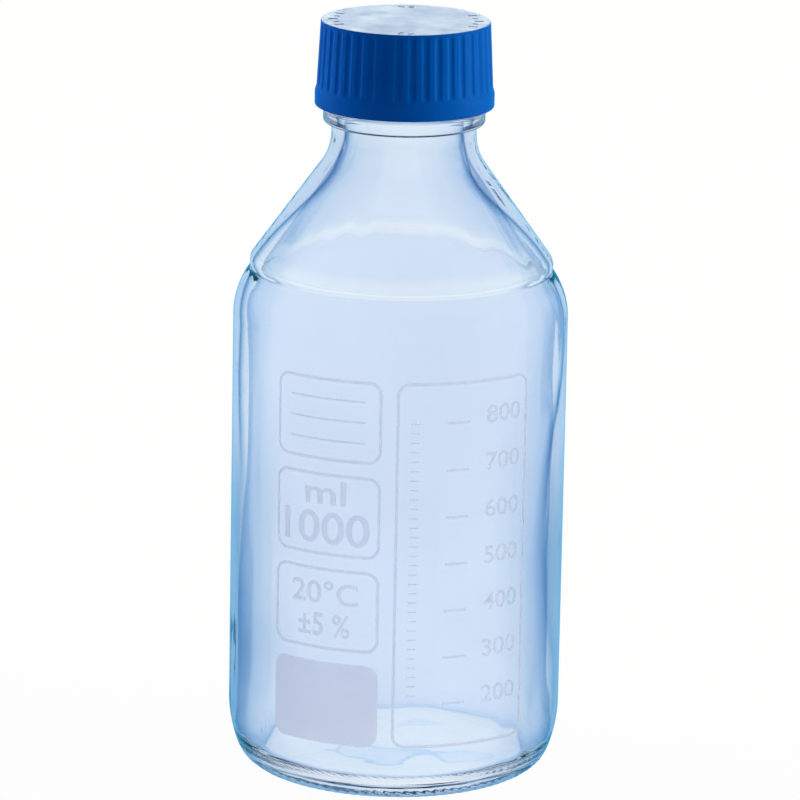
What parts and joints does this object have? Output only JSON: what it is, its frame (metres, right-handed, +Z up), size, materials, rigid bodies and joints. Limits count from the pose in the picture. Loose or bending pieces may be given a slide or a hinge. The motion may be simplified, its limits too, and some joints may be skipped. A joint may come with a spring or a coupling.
{
  "type": "reagent bottle",
  "caption": "Round clear glass reagent bottle with a printed volume scale, a blue ribbed screw cap, a pouring ring and a seal.",
  "frame": {"origin": "middle of the foot, on the plane that the bottle stands on", "axes": "+Z up the bottle's axis; the printed side faces -Y; +X is to the right of someone who reads the print"},
  "size_m": [0.101, 0.1011, 0.23],
  "materials": {
    "glass": "clear, fire polished",
    "ring_plastic": "moulded satin",
    "cap_plastic": "moulded satin",
    "seal_silicone": "matte",
    "seal_facing": "smooth",
    "enamel": "fired, matt"
  },
  "bodies": {
    "bottle": {"glass_bottle": "glass", "pouring_ring": "ring_plastic", "print_scale_frame": "enamel", "print_scale_lines": "enamel", "print_scale_numbers": "enamel", "print_fine_marks": "enamel", "print_title_panel": "enamel", "print_capacity_panel": "enamel", "print_limits_panel": "enamel", "print_write_on_patch": "enamel"},
    "seal": {"seal_disc": "seal_silicone", "seal_facing": "seal_facing"},
    "cap": {"screw_cap": "cap_plastic"}
  },
  "joints": [
    {"name": "cap_rise", "type": "slide", "parent": "bottle", "child": "seal", "axis": [0, 0, 1], "range_m": [0, 0.04]},
    {"name": "cap_turn", "type": "hinge", "parent": "seal", "child": "cap", "pos_m": [0, 0, 0.2], "axis": [0, 0, 1], "range_deg": [0, 3600]}
  ],
  "couplings": [
    {"joint": "cap_rise", "follows": "cap_turn", "m_per_rad": 0.00063662}
  ]
}
